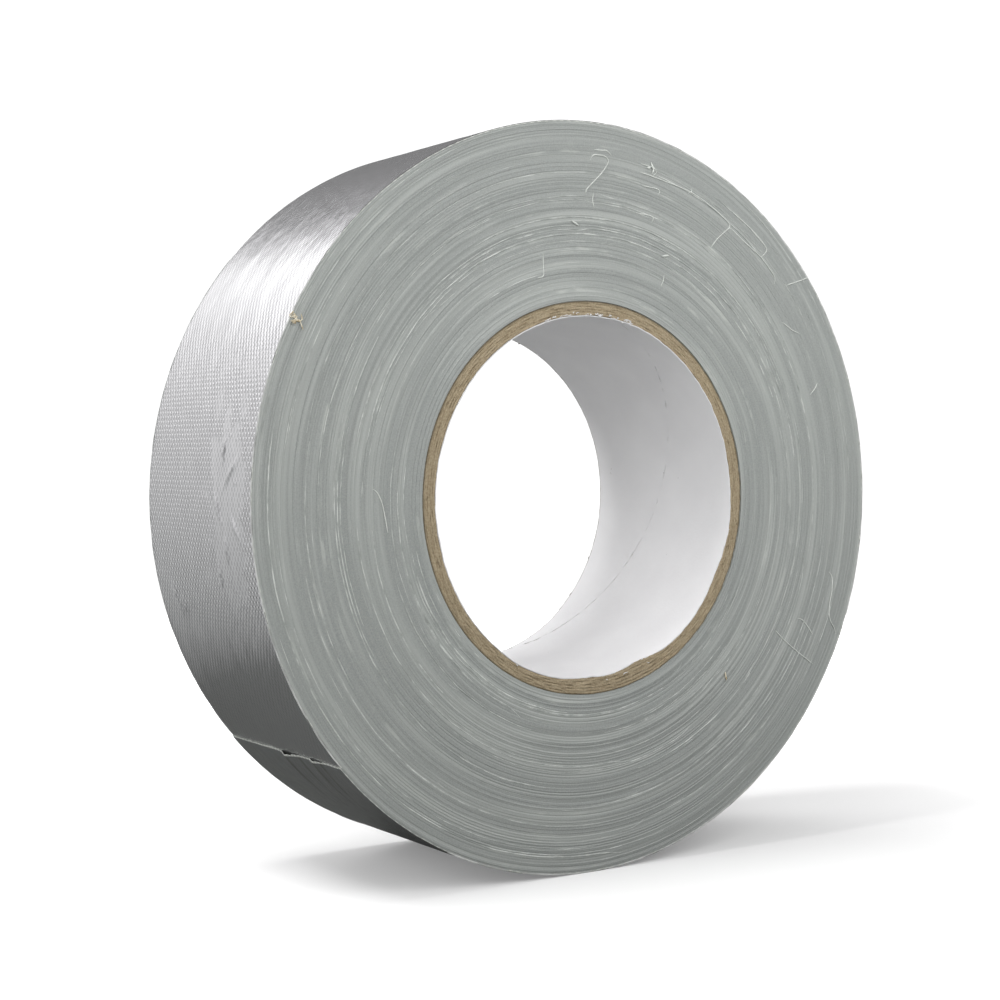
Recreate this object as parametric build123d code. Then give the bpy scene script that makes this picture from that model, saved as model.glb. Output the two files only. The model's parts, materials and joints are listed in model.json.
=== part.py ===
from build123d import *
import math
import os

# A roll of cloth-backed duct tape standing on its rim. Millimetres and degrees, +Z up.
# The origin is the middle of the core's bore, and the bore runs along Y.
# Angles are measured about the bore from +X towards +Z.

# Core: a paperboard tube of 3 inch bore, a white lining and wound kraft plies.
TAPE_WIDTH = 48.0
BORE_RADIUS = 38.1
LINER_THICKNESS = 0.25
CORE_RADIUS = 41.2
PLY_COUNT = 5

# Tape: silver polythene film, cotton scrim and rubber adhesive, wound film side out.
ROLL_RADIUS = 78.6
FILM_THICKNESS = 0.10
SCRIM_THICKNESS = 0.08
ADHESIVE_THICKNESS = 0.10
TAPE_THICKNESS = FILM_THICKNESS + SCRIM_THICKNESS + ADHESIVE_THICKNESS

# Free end: the part of the outer turn that peels, cut into equal panels.
TAIL_TIP_ANGLE = 220.6
TAIL_PANELS = 4
TAIL_PANEL_ANGLE = 5.0
TAIL_LIFT = 0.06
TAIL_ROOT_ANGLE = TAIL_TIP_ANGLE + TAIL_PANELS * TAIL_PANEL_ANGLE

# Loose yarns that have frayed out of the cut edges: (angle, radius) points along each.
# They are pressed into the sticky sides, flush with them.
YARN_WIDTH = 0.25
YARN_DEPTH = 0.20
FRONT_YARNS = [
    [(104.1, 52.0), (104.3, 49.6), (104.2, 47.4)],
    [(63.5, 66.2), (61.1, 68.7), (55.0, 69.3), (49.2, 68.2), (50.2, 63.0), (50.6, 58.8)],
    [(84.5, 71.5), (80.5, 70.4), (78.8, 66.9), (80.0, 63.6)],
    [(76.0, 69.5), (72.8, 70.3), (69.8, 68.4)],
    [(26.9, 76.2), (27.2, 73.4), (31.5, 72.3)],
    [(38.5, 73.0), (35.0, 74.6), (31.6, 74.2)],
    [(331.5, 67.0), (329.4, 69.6), (324.8, 71.4)],
    [(322.5, 66.5), (326.0, 68.3), (329.6, 72.6)],
    [(96.5, 60.5), (93.4, 60.9), (90.8, 60.2)],
]
BACK_YARNS = [
    [(118.0, 63.0), (121.5, 64.6), (126.0, 63.4)],
    [(58.0, 70.5), (55.2, 71.6), (54.0, 68.9), (55.5, 66.0)],
    [(14.0, 57.0), (16.6, 58.4), (20.5, 57.6)],
    [(203.0, 69.0), (206.4, 70.3), (208.0, 73.0)],
    [(301.0, 61.5), (304.6, 60.2), (307.0, 62.0)],
    [(259.0, 66.8), (262.0, 65.2), (266.0, 65.9)],
]

# The outer turn is drawn as two half-turn arcs. Their centres stand a quarter of the tape's
# thickness either side of the bore's axis, on the line through the free end, so the radius
# drops by one thickness in a full turn.
CENTRE_SHIFT = TAPE_THICKNESS / 4
FIRST_RADIUS = ROLL_RADIUS + CENTRE_SHIFT
SECOND_RADIUS = FIRST_RADIUS - 2 * CENTRE_SHIFT
HALF_TURN_ANGLE = TAIL_TIP_ANGLE + 180.0
LAST_ANGLE = TAIL_TIP_ANGLE + 360.0


def polar(radius, angle, centre=(0.0, 0.0)):
    """The point at a radius and angle about a centre, as X and Z."""
    turn = math.radians(angle)
    return (centre[0] + radius * math.cos(turn), centre[1] + radius * math.sin(turn))


FIRST_CENTRE = polar(CENTRE_SHIFT, TAIL_TIP_ANGLE)
SECOND_CENTRE = polar(-CENTRE_SHIFT, TAIL_TIP_ANGLE)


def across_width(sketch):
    """A solid of the tape's full width from an outline drawn in the X-Z plane."""
    return extrude(Plane.XZ * sketch, TAPE_WIDTH / 2, both=True)


def tube(inner, outer):
    return across_width(Circle(outer) - Circle(inner))


def panel(top, bottom, start, end):
    """A strip on the first half turn, between two depths under the outer surface."""
    outer = FIRST_RADIUS - top
    inner = FIRST_RADIUS - bottom
    edges = [
        CenterArc(FIRST_CENTRE, outer, start, end - start),
        CenterArc(FIRST_CENTRE, inner, start, end - start),
        Line(polar(inner, start, FIRST_CENTRE), polar(outer, start, FIRST_CENTRE)),
        Line(polar(inner, end, FIRST_CENTRE), polar(outer, end, FIRST_CENTRE)),
    ]
    return across_width(make_face(edges))


def wrap(top, bottom):
    """A layer of the outer turn, from the peel line round to where it passes under the free end."""
    first = HALF_TURN_ANGLE - TAIL_ROOT_ANGLE
    start = TAIL_ROOT_ANGLE
    edges = []
    for depth in (top, bottom):
        edges.append(CenterArc(FIRST_CENTRE, FIRST_RADIUS - depth, start, first))
        edges.append(CenterArc(SECOND_CENTRE, SECOND_RADIUS - depth, HALF_TURN_ANGLE, 180.0))
    edges.append(
        Line(
            polar(FIRST_RADIUS - bottom, start, FIRST_CENTRE),
            polar(FIRST_RADIUS - top, start, FIRST_CENTRE),
        )
    )
    edges.append(
        Line(
            polar(SECOND_RADIUS - bottom, LAST_ANGLE, SECOND_CENTRE),
            polar(SECOND_RADIUS - top, LAST_ANGLE, SECOND_CENTRE),
        )
    )
    return across_width(make_face(edges))


def winding():
    """All the turns under the outer one, with the step where the outer turn runs into them."""
    first = FIRST_RADIUS - TAPE_THICKNESS
    second = SECOND_RADIUS - TAPE_THICKNESS
    edges = [
        CenterArc(FIRST_CENTRE, first, TAIL_TIP_ANGLE, 180.0),
        CenterArc(SECOND_CENTRE, second, HALF_TURN_ANGLE, 180.0),
        Line(
            polar(second, LAST_ANGLE, SECOND_CENTRE),
            polar(first, TAIL_TIP_ANGLE, FIRST_CENTRE),
        ),
    ]
    return across_width(make_face(edges) - Circle(CORE_RADIUS))


def loose_yarn(points, face):
    """A flattened thread pressed into the front (-1) or back (+1) side of the winding."""
    path = Polyline(*[polar(radius, angle) for angle, radius in points])
    ribbon = extrude(Plane.XZ * trace(path, YARN_WIDTH), YARN_DEPTH / 2, both=True)
    return Pos(0, face * (TAPE_WIDTH - YARN_DEPTH) / 2, 0) * ribbon


def loose_yarns(routes, face):
    return [loose_yarn(points, face) for points in routes]


def core():
    """The core's lining and plies, from the bore outwards."""
    nodes = {"core_liner": tube(BORE_RADIUS, BORE_RADIUS + LINER_THICKNESS)}
    lining = BORE_RADIUS + LINER_THICKNESS
    ply = (CORE_RADIUS - lining) / PLY_COUNT
    for index in range(PLY_COUNT):
        inner = lining + index * ply
        nodes[f"core_ply_{index + 1}"] = tube(inner, inner + ply)
    return nodes


def tape_layers():
    """Each layer's name with its top and bottom depth under the tape's outer surface."""
    scrim_top = FILM_THICKNESS
    adhesive_top = FILM_THICKNESS + SCRIM_THICKNESS
    return {
        "film": (0.0, scrim_top),
        "scrim": (scrim_top, adhesive_top),
        "adhesive": (adhesive_top, TAPE_THICKNESS),
    }


def outer_wrap():
    return {f"outer_wrap_{layer}": wrap(*depths) for layer, depths in tape_layers().items()}


def tail():
    """The free end's panels, numbered from the peel line to the cut edge."""
    nodes = {}
    for index in range(TAIL_PANELS):
        end = TAIL_ROOT_ANGLE - index * TAIL_PANEL_ANGLE
        start = end - TAIL_PANEL_ANGLE
        for layer, (top, bottom) in tape_layers().items():
            lift = TAIL_LIFT if layer == "adhesive" else 0.0
            nodes[f"tail_{layer}_{index + 1}"] = panel(top, bottom - lift, start, end)
    return nodes


def main():
    front_yarns = loose_yarns(FRONT_YARNS, -1)
    back_yarns = loose_yarns(BACK_YARNS, 1)
    nodes = {
        **core(),
        "tape_winding": winding() - front_yarns - back_yarns,
        **outer_wrap(),
        **tail(),
        "loose_yarns_front": Compound(children=front_yarns),
        "loose_yarns_back": Compound(children=back_yarns),
    }
    os.makedirs("parts", exist_ok=True)
    for name, solid in nodes.items():
        export_step(solid, f"parts/{name}.step")
    for index in range(TAIL_PANELS):
        x, z = polar(FIRST_RADIUS, TAIL_ROOT_ANGLE - index * TAIL_PANEL_ANGLE, FIRST_CENTRE)
        print(f"tail hinge {index + 1}: x {x:.4f}, z {z:.4f}")


main()
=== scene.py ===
import json
import math

import bmesh
import bpy
import numpy as np
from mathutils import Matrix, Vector

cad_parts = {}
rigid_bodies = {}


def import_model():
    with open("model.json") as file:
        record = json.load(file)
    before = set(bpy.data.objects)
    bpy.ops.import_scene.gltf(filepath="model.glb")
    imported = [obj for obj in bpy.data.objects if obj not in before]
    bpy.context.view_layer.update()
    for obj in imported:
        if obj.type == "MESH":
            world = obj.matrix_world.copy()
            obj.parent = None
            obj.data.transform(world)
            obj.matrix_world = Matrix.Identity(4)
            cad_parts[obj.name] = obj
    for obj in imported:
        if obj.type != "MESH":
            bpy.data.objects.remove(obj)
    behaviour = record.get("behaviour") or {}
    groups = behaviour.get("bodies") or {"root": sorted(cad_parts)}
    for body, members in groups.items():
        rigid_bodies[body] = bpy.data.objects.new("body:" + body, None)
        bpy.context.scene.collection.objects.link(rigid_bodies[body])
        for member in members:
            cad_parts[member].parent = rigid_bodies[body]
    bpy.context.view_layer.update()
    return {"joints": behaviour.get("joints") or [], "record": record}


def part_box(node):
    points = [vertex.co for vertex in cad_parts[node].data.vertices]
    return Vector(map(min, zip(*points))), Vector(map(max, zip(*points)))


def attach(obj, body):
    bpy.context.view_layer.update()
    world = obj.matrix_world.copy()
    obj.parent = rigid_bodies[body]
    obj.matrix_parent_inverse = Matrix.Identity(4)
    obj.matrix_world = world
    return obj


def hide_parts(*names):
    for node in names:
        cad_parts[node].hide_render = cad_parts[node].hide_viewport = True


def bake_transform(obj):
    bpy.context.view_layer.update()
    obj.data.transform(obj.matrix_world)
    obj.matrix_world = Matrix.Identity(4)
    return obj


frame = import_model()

# Lengths are in metres, angles in degrees about the bore from +X towards +Z.
MM = 0.001
SEED = 7

# The tape and its core. Half the width and the core's radii are the frame's.
PLY_COUNT = 5
HALF_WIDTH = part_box("outer_wrap_film")[1].y
BORE_RADIUS = frame["record"]["mounts"][0]["dims"]["r_mm"] * MM
LINER_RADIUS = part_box("core_liner")[1].x
CORE_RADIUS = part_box(f"core_ply_{PLY_COUNT}")[1].x
ROLL_RADIUS = 78.6 * MM
FILM = 0.10 * MM
SCRIM = 0.08 * MM
TAPE = 0.28 * MM
TAIL_GAP = 0.06 * MM

# The free end: hinged panels from the peel line to the cut edge, one body each.
TAIL_BODIES = [joint["child"] for joint in frame["joints"]]
PANEL_COUNT = len(TAIL_BODIES)
ROLL_BODY = frame["joints"][0]["parent"]
PANEL_ANGLE = 5.0
TIP_ANGLE = 220.6
ROOT_ANGLE = TIP_ANGLE + PANEL_ANGLE * PANEL_COUNT
LAST_ANGLE = TIP_ANGLE + 360.0

# Weave of the scrim: distance between neighbouring yarns along the tape and across it, how far
# they wander, and how high the weave and the film's own grain stand.
WEFT_PITCH = 0.943 * MM
WARP_PITCH = 0.635 * MM
YARN_WANDER = 0.55 * MM
WEAVE_HEIGHT = 0.125 * MM
GRAIN_HEIGHT = 0.006 * MM

FLOOR_Z = -ROLL_RADIUS - TAPE / 2

# The camera: its place, the azimuth and elevation it stands back along, and its lens in millimetres.
CAMERA_PLACE = (-222.47 * MM, -325.04 * MM, 8.97 * MM)
CAMERA_FACES = (-33.527, 1.426)
CAMERA_LENS = 64.23
CAMERA_SENSOR = 36.0

# Strength of the room light below and above the horizon, and of the box behind the roll: its
# even part and its bright upper part.
ROOM_LOW = 0.38
ROOM_HIGH = 0.325
BOX_LOW = 0.91
BOX_HIGH = 3.15

# The stage: a floor card in a dome, and a smaller grey card just under the roll.
FLOOR_RADIUS = 0.62
CARD_RADIUS = 0.15
CARD_DROP = 0.5 * MM
DOME_RADIUS = 3.0


# ---------------------------------------------------------------- camera, floor, light

def direction(azimuth, elevation):
    """A unit vector towards a viewer; azimuth 0 is a viewer at -Y."""
    a = math.radians(azimuth)
    e = math.radians(elevation)
    return Vector((math.sin(a) * math.cos(e), -math.cos(a) * math.cos(e), math.sin(e)))


def make_camera():
    """Eye a little above the bore, looking at the front side from its left."""
    data = bpy.data.cameras.new("camera")
    data.lens = CAMERA_LENS
    data.sensor_width = CAMERA_SENSOR
    camera = bpy.data.objects.new("camera", data)
    bpy.context.scene.collection.objects.link(camera)
    back = direction(*CAMERA_FACES)
    camera.location = CAMERA_PLACE
    camera.rotation_mode = "QUATERNION"
    camera.rotation_quaternion = (-back).to_track_quat("-Z", "Y")
    bpy.context.scene.camera = camera


def area_light(name, azimuth, elevation, distance, size, power):
    """A soft box that faces the middle of the roll."""
    data = bpy.data.lights.new(name, "AREA")
    data.shape = "RECTANGLE"
    data.size = size[0]
    data.size_y = size[1]
    data.energy = power
    light = bpy.data.objects.new(name, data)
    bpy.context.scene.collection.objects.link(light)
    towards = direction(azimuth, elevation)
    light.location = towards * distance
    light.rotation_mode = "QUATERNION"
    light.rotation_quaternion = (-towards).to_track_quat("-Z", "Y")
    light.visible_camera = False
    light.visible_glossy = False


# Soft boxes near the roll: name, azimuth, elevation, distance, width and height, power in watts.
SOFT_BOXES = [
    ("upper_front_box", 18, 31, 0.36, (0.46, 0.32), 1.01),
    ("left_box", -76, 15, 0.60, (0.46, 0.40), 1.50),
    ("overhead_box", -97, 60, 0.60, (0.22, 0.22), 2.4),
]


def make_lights():
    """The soft boxes; the world gives the rest of the light."""
    for box in SOFT_BOXES:
        area_light(*box)


# ---------------------------------------------------------------- shader nodes

class NodeTree:
    """A node tree with short calls for the nodes that the world and the materials use."""

    def __init__(self, tree):
        self.tree = tree
        self.tree.nodes.clear()

    def node(self, kind, **settings):
        made = self.tree.nodes.new(kind)
        for key, value in settings.items():
            setattr(made, key, value)
        return made

    def link(self, source, target):
        if hasattr(source, "is_linked"):
            self.tree.links.new(source, target)
        else:
            target.default_value = source

    def math(self, operation, *values):
        made = self.node("ShaderNodeMath", operation=operation)
        for value, socket in zip(values, made.inputs):
            self.link(value, socket)
        return made.outputs[0]

    def times(self, first, second):
        return self.math("MULTIPLY", first, second)

    def plus(self, first, second):
        return self.math("ADD", first, second)

    def minus(self, first, second):
        return self.math("SUBTRACT", first, second)

    def combine(self, x, y, z):
        made = self.node("ShaderNodeCombineXYZ")
        for value, socket in zip((x, y, z), made.inputs):
            self.link(value, socket)
        return made.outputs[0]

    def separate(self, vector):
        made = self.node("ShaderNodeSeparateXYZ")
        self.link(vector, made.inputs[0])
        return made.outputs

    def noise(self, vector, scale, detail=2.0, roughness=0.5):
        made = self.node("ShaderNodeTexNoise")
        self.link(vector, made.inputs["Vector"])
        made.inputs["Scale"].default_value = scale
        made.inputs["Detail"].default_value = detail
        made.inputs["Roughness"].default_value = roughness
        return made.outputs["Fac"]

    def ramp(self, value, low, high, low_out=0.0, high_out=1.0, shape="SMOOTHSTEP"):
        made = self.node("ShaderNodeMapRange", interpolation_type=shape)
        self.link(value, made.inputs["Value"])
        for name, number in zip(
            ("From Min", "From Max", "To Min", "To Max"), (low, high, low_out, high_out)
        ):
            made.inputs[name].default_value = number
        return made.outputs["Result"]

    def mix(self, factor, first, second):
        made = self.node("ShaderNodeMix", data_type="RGBA")
        self.link(factor, made.inputs["Factor"])
        for value, socket in zip((first, second), (made.inputs[6], made.inputs[7])):
            self.link(value if hasattr(value, "is_linked") else (*value, 1.0), socket)
        return made.outputs[2]

    def bump(self, height, distance, normal=None):
        made = self.node("ShaderNodeBump")
        self.link(height, made.inputs["Height"])
        made.inputs["Distance"].default_value = distance
        if normal is not None:
            self.link(normal, made.inputs["Normal"])
        return made.outputs[0]


class Shader(NodeTree):
    """A material with one Principled surface."""

    def __init__(self, name):
        self.material = bpy.data.materials.new(name)
        self.material.use_nodes = True
        super().__init__(self.material.node_tree)
        self.surface = self.node("ShaderNodeBsdfPrincipled")
        output = self.node("ShaderNodeOutputMaterial")
        self.link(self.surface.outputs[0], output.inputs[0])

    def feed(self, name, value):
        """Link a texture or colour to one of the surface's inputs."""
        self.link(value, self.surface.inputs[name])

    def done(self, **values):
        """Set the surface's constant values; the material is then ready."""
        for name, value in values.items():
            self.surface.inputs[name.replace("_", " ")].default_value = value
        return self.material

    def place(self):
        """Position on the resting roll."""
        return self.node("ShaderNodeTexCoord").outputs["Object"]

    def strip(self):
        """Distance along the tape and across it, in metres, from the piece's own map."""
        uv = self.node("ShaderNodeUVMap", uv_map="strip").outputs[0]
        return self.separate(uv)

    def radius(self):
        """Distance from the bore's axis."""
        x, _, z = self.separate(self.place())
        squares = self.plus(self.times(x, x), self.times(z, z))
        return self.math("SQRT", squares)

    def grain(self, *settings):
        """Noise through the resting roll."""
        return self.noise(self.place(), *settings)

    def rings(self, around, outward, *settings):
        """Noise drawn out round the bore, without a seam: how fine it is around and outward."""
        x, _, z = self.separate(self.place())
        radius = self.radius()
        scale = self.math("DIVIDE", around, radius)
        position = self.combine(self.times(x, scale), self.times(radius, outward), self.times(z, scale))
        return self.noise(position, 1.0, *settings)


def weave(shader):
    """Height of a plain weave, 0 to 1: yarns of both ways pass over each other in turn."""
    along, across, _ = shader.strip()
    position = shader.combine(along, across, 0.0)
    wander = shader.noise(position, 260.0, 2.0)
    shift = shader.times(shader.minus(wander, 0.5), YARN_WANDER)
    along = shader.plus(along, shift)
    across = shader.plus(across, shift)
    weft = shader.math("COSINE", shader.times(along, math.pi / WEFT_PITCH))
    warp = shader.math("COSINE", shader.times(across, math.pi / WARP_PITCH))
    return shader.math("MULTIPLY_ADD", shader.times(weft, warp), 0.5, 0.5)


def crease_shade(shader, along, across):
    """Painted shade along the creases that run back from the puckers of the free end, 0 to 1."""
    reach = shader.ramp(along, CREASE_REACH * 0.15, CREASE_REACH, 0.75, 0.0)
    shade = 0.0
    for place, width, slant in CREASES:
        drift = shader.times(along, slant)
        offset = shader.minus(shader.minus(across, place), drift)
        line = shader.ramp(shader.math("ABSOLUTE", offset), 0.0, width, 1.0, 0.0)
        shade = shader.math("MAXIMUM", line, shade)
    return shader.times(shade, reach)


def over_stretch(shader, along, stretch, before, after):
    """A value that changes over a stretch of the tape, given by its two angles."""
    start, end = (float(arc_length(angle)) for angle in stretch)
    return shader.ramp(along, start, end, before, after)


def weave_shows(shader, along):
    """How much of the weave shows by place along the tape: two stretches are pulled smooth."""
    after_tail = over_stretch(shader, along, WOVEN_FROM, SMOOTHED, 1.0)
    before_top = over_stretch(shader, along, WOVEN_UNTIL, 1.0, SMOOTHED)
    after_top = over_stretch(shader, along, WOVEN_AGAIN, SMOOTHED, 1.0)
    return shader.math("MAXIMUM", shader.math("MINIMUM", after_tail, before_top), after_top)


def worn_patch(shader, along, across):
    """A ragged patch where the weave is worn down: 1 outside it and nearly 0 inside."""
    position = shader.combine(along, across, 0.0)
    rag = shader.times(shader.minus(shader.noise(position, 210.0, 3.0), 0.5), PATCH_RAGGED)
    run = shader.times(shader.minus(along, float(arc_length(PATCH_ANGLE))), PATCH_SQUEEZE)
    side = shader.minus(across, PATCH_PLACE)
    squares = shader.plus(shader.times(run, run), shader.times(side, side))
    reach = shader.plus(shader.math("SQRT", squares), rag)
    return shader.ramp(reach, PATCH_RADIUS * 0.7, PATCH_RADIUS * 1.1, 0.10, 1.0)


def film_material():
    """Silver polythene film, embossed by the weave under it, with smoother worn patches."""
    shader = Shader("silver_film")
    along, across, _ = shader.strip()
    position = shader.combine(along, across, 0.0)
    height = shader.ramp(weave(shader), 0.12, 0.88)
    patch = worn_patch(shader, along, across)
    wear = shader.ramp(shader.noise(position, 60.0, 3.0), 0.34, 0.46, 0.55, 1.0)
    drawn = weave_shows(shader, along)
    pressed = over_stretch(shader, along, PRESSED_FROM, 1.0, 0.18)
    embossed = shader.times(shader.times(height, patch), wear)
    embossed = shader.times(embossed, shader.times(drawn, pressed))
    grain = shader.noise(position, 2600.0, 3.0, 0.6)
    streaks = shader.noise(shader.combine(shader.times(along, 0.12), across, 0.0), 900.0, 3.0)
    normal = shader.bump(embossed, WEAVE_HEIGHT)
    normal = shader.bump(grain, GRAIN_HEIGHT, normal)
    shader.feed("Normal", normal)
    # Colour follows the weave: partly the film's own pattern, partly painted shade, darker in the hollows
    # between the yarns and lighter on their crests.
    weave_tone_and_shade = shader.times(shader.times(height, drawn), 0.42)
    tone = shader.math("MULTIPLY_ADD", streaks, 0.5, weave_tone_and_shade)
    colour = shader.mix(shader.ramp(tone, 0.1, 0.6), (0.42, 0.42, 0.43), (0.60, 0.60, 0.61))
    # Painted shade: the film's colour darkens along the creases behind the puckers.
    colour = shader.mix(crease_shade(shader, along, across), colour, (0.24, 0.23, 0.21))
    shader.feed("Base Color", colour)
    rough = shader.ramp(shader.noise(position, 420.0, 2.0), 0.3, 0.7, 0.20, 0.26)
    shader.feed("Roughness", rough)
    return shader.done(Metallic=0.85)


def edge_material():
    """Cut edges of the wound tape: grey-green laminate with pale smears of drawn fibre."""
    shader = Shader("tape_edge")
    layers = shader.rings(1.4, 1100.0, 3.0, 0.6)
    bands = shader.ramp(shader.rings(0.8, 400.0, 3.0, 0.55), 0.46, 0.64)
    grain = shader.grain(3300.0, 3.0, 0.75)
    smears = shader.ramp(shader.rings(2.4, 850.0, 4.0, 0.62), 0.56, 0.70)
    breaks = shader.ramp(shader.rings(9.0, 500.0, 3.0, 0.6), 0.42, 0.60)
    tone = shader.math("MULTIPLY_ADD", grain, 0.55, shader.times(layers, 0.20))
    colour = shader.mix(shader.ramp(tone, 0.22, 0.54), (0.300, 0.318, 0.308), (0.400, 0.417, 0.402))
    colour = shader.mix(shader.times(bands, 0.55), colour, (0.480, 0.502, 0.480))
    pale = shader.times(shader.times(smears, breaks), 0.50)
    shader.feed("Base Color", shader.mix(pale, colour, (0.58, 0.605, 0.57)))
    height = shader.math("MULTIPLY_ADD", bands, 0.3, grain)
    shader.feed("Normal", shader.bump(height, 0.05 * MM))
    return shader.done(Roughness=0.66, Specular_IOR_Level=0.3)


def yarn_material():
    """Cotton thread, pale and slightly green, with twist and fuzz."""
    shader = Shader("cotton_yarn")
    fuzz = shader.grain(5200.0, 3.0, 0.7)
    colour = shader.mix(shader.ramp(fuzz, 0.3, 0.7), (0.60, 0.63, 0.60), (0.82, 0.84, 0.80))
    shader.feed("Base Color", colour)
    shader.feed("Normal", shader.bump(fuzz, 0.04 * MM))
    return shader.done(Roughness=0.85, Specular_IOR_Level=0.2)


def fray_material():
    """The film's pale stretched edge, a little patchy."""
    shader = Shader("frayed_edge")
    patch = shader.rings(14.0, 400.0, 3.0, 0.6)
    colour = shader.mix(shader.ramp(patch, 0.35, 0.65), (0.40, 0.41, 0.40), (0.66, 0.67, 0.66))
    shader.feed("Base Color", colour)
    return shader.done(Roughness=0.45)


def dust_material():
    """Pale brown paper fibre."""
    shader = Shader("paper_fluff")
    tone = shader.grain(900.0, 2.0)
    colour = shader.mix(shader.ramp(tone, 0.35, 0.65), (0.50, 0.40, 0.24), (0.86, 0.81, 0.68))
    shader.feed("Base Color", colour)
    return shader.done(Roughness=0.9, Specular_IOR_Level=0.2)


def fibre_material():
    """Fibre drawn out along the cut edge and half buried in adhesive."""
    shader = Shader("drawn_fibre")
    patch = shader.rings(16.0, 700.0, 4.0, 0.65)
    colour = shader.mix(shader.ramp(patch, 0.36, 0.68), (0.36, 0.38, 0.365), (0.66, 0.685, 0.655))
    shader.feed("Base Color", colour)
    shader.feed("Normal", shader.bump(shader.grain(4000.0, 2.0), 0.04 * MM))
    return shader.done(Roughness=0.75, Specular_IOR_Level=0.25)


def kraft_material():
    """Cut paperboard: brown plies drawn out in rings, with dark pits and pale fibres."""
    shader = Shader("kraft_board")
    plies = shader.rings(7.0, 2600.0, 3.0, 0.7)
    fibres = shader.grain(2300.0, 4.0, 0.7)
    pits = shader.ramp(shader.rings(24.0, 1500.0, 3.0, 0.6), 0.58, 0.72)
    tone = shader.math("MULTIPLY_ADD", plies, 0.42, shader.times(fibres, 0.58))
    colour = shader.mix(shader.ramp(tone, 0.3, 0.7), (0.290, 0.228, 0.142), (0.520, 0.435, 0.305))
    colour = shader.mix(shader.times(pits, 0.5), colour, (0.11, 0.08, 0.045))
    # Painted shade: the colour darkens towards the core's outer edge, standing in for the shadow in the
    # gap between core and tape.
    rim = shader.ramp(shader.radius(), CORE_RADIUS - 0.45 * MM, CORE_RADIUS - 0.15 * MM, 0.0, 0.65)
    shader.feed("Base Color", shader.mix(rim, colour, (0.10, 0.085, 0.055)))
    height = shader.math("MULTIPLY_ADD", fibres, 0.6, plies)
    shader.feed("Normal", shader.bump(height, 0.18 * MM))
    return shader.done(Roughness=0.92, Specular_IOR_Level=0.2)


def paper_material():
    """White lining paper: faint cockles and fibres, a few specks, and painted shade as a grey line along
    the far cut edge.
    """
    shader = Shader("liner_paper")
    cloud = shader.grain(90.0, 3.0)
    fibres = shader.grain(1900.0, 4.0, 0.65)
    specks = shader.ramp(shader.grain(700.0, 1.0), 0.80, 0.84)
    colour = shader.mix(cloud, (0.76, 0.755, 0.765), (0.86, 0.858, 0.862))
    colour = shader.mix(shader.times(specks, 0.5), colour, (0.30, 0.28, 0.26))
    # Painted shade: a grey line along the far cut edge, wavering a little with noise.
    _, across, _ = shader.separate(shader.place())
    nibbled = shader.times(shader.grain(420.0, 3.0), 0.5 * MM)
    reach = shader.plus(across, nibbled)
    cut = shader.ramp(reach, HALF_WIDTH - 0.10 * MM, HALF_WIDTH + 0.12 * MM, 0.0, 0.75)
    shader.feed("Base Color", shader.mix(cut, colour, (0.24, 0.21, 0.18)))
    height = shader.math("MULTIPLY_ADD", cloud, 3.0, fibres)
    shader.feed("Normal", shader.bump(height, 0.05 * MM))
    return shader.done(Roughness=0.78, Specular_IOR_Level=0.12)


def adhesive_material():
    """Pale rubber adhesive with the scrim's mesh showing through it."""
    shader = Shader("adhesive")
    along, across, _ = shader.strip()
    position = shader.combine(along, across, 0.0)
    height = weave(shader)
    blotch = shader.noise(position, 500.0, 3.0)
    colour = shader.mix(shader.ramp(height, 0.2, 1.0), (0.46, 0.48, 0.45), (0.64, 0.66, 0.61))
    colour = shader.mix(shader.ramp(blotch, 0.45, 0.7, 0.0, 0.4), colour, (0.72, 0.74, 0.69))
    shader.feed("Base Color", colour)
    shader.feed("Normal", shader.bump(height, 0.06 * MM))
    return shader.done(Roughness=0.42)


def scrim_material():
    """The open cotton weave between film and adhesive."""
    shader = Shader("scrim_cloth")
    height = weave(shader)
    colour = shader.mix(shader.ramp(height, 0.2, 1.0), (0.50, 0.53, 0.49), (0.78, 0.80, 0.75))
    shader.feed("Base Color", colour)
    shader.feed("Normal", shader.bump(height, 0.08 * MM))
    return shader.done(Roughness=0.88, Specular_IOR_Level=0.2)


def floor_material():
    """White card that glows brighter into the backdrop towards its rim, with painted shadow that darkens
    its colour near the roll.
    """
    shader = Shader("floor_card")
    x, y, _ = shader.separate(shader.place())
    squares = shader.plus(shader.times(x, x), shader.times(y, y))
    away = shader.math("SQRT", squares)
    glow = shader.ramp(away, 0.09, FLOOR_RADIUS * 0.5, 0.18, 1.10)
    shader.feed("Emission Strength", glow)
    # Painted shadow: the card's colour is darker within 9 cm of the roll's middle.
    colour = shader.mix(shader.ramp(away, 0.0, 0.09), (0.76, 0.76, 0.76), (0.86, 0.86, 0.86))
    shader.feed("Base Color", colour)
    return shader.done(
        Emission_Color=(1.0, 1.0, 1.0, 1.0),
        Roughness=0.9,
        Specular_IOR_Level=0.0,
    )


def card_material():
    """Grey card under the roll: what the roll's lower half reflects."""
    shader = Shader("grey_card")
    mottle = shader.grain(40.0)
    shader.feed("Base Color", shader.mix(mottle, (0.215, 0.225, 0.213), (0.265, 0.275, 0.263)))
    return shader.done(Roughness=0.9, Specular_IOR_Level=0.0)


def backdrop_material():
    """Bright enough to show as white behind the floor."""
    shader = Shader("backdrop_white")
    return shader.done(
        Base_Color=(0.0, 0.0, 0.0, 1.0),
        Emission_Color=(1.0, 1.0, 1.0, 1.0),
        Emission_Strength=1.1,
        Specular_IOR_Level=0.0,
    )


# ---------------------------------------------------------------- mesh building

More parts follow.
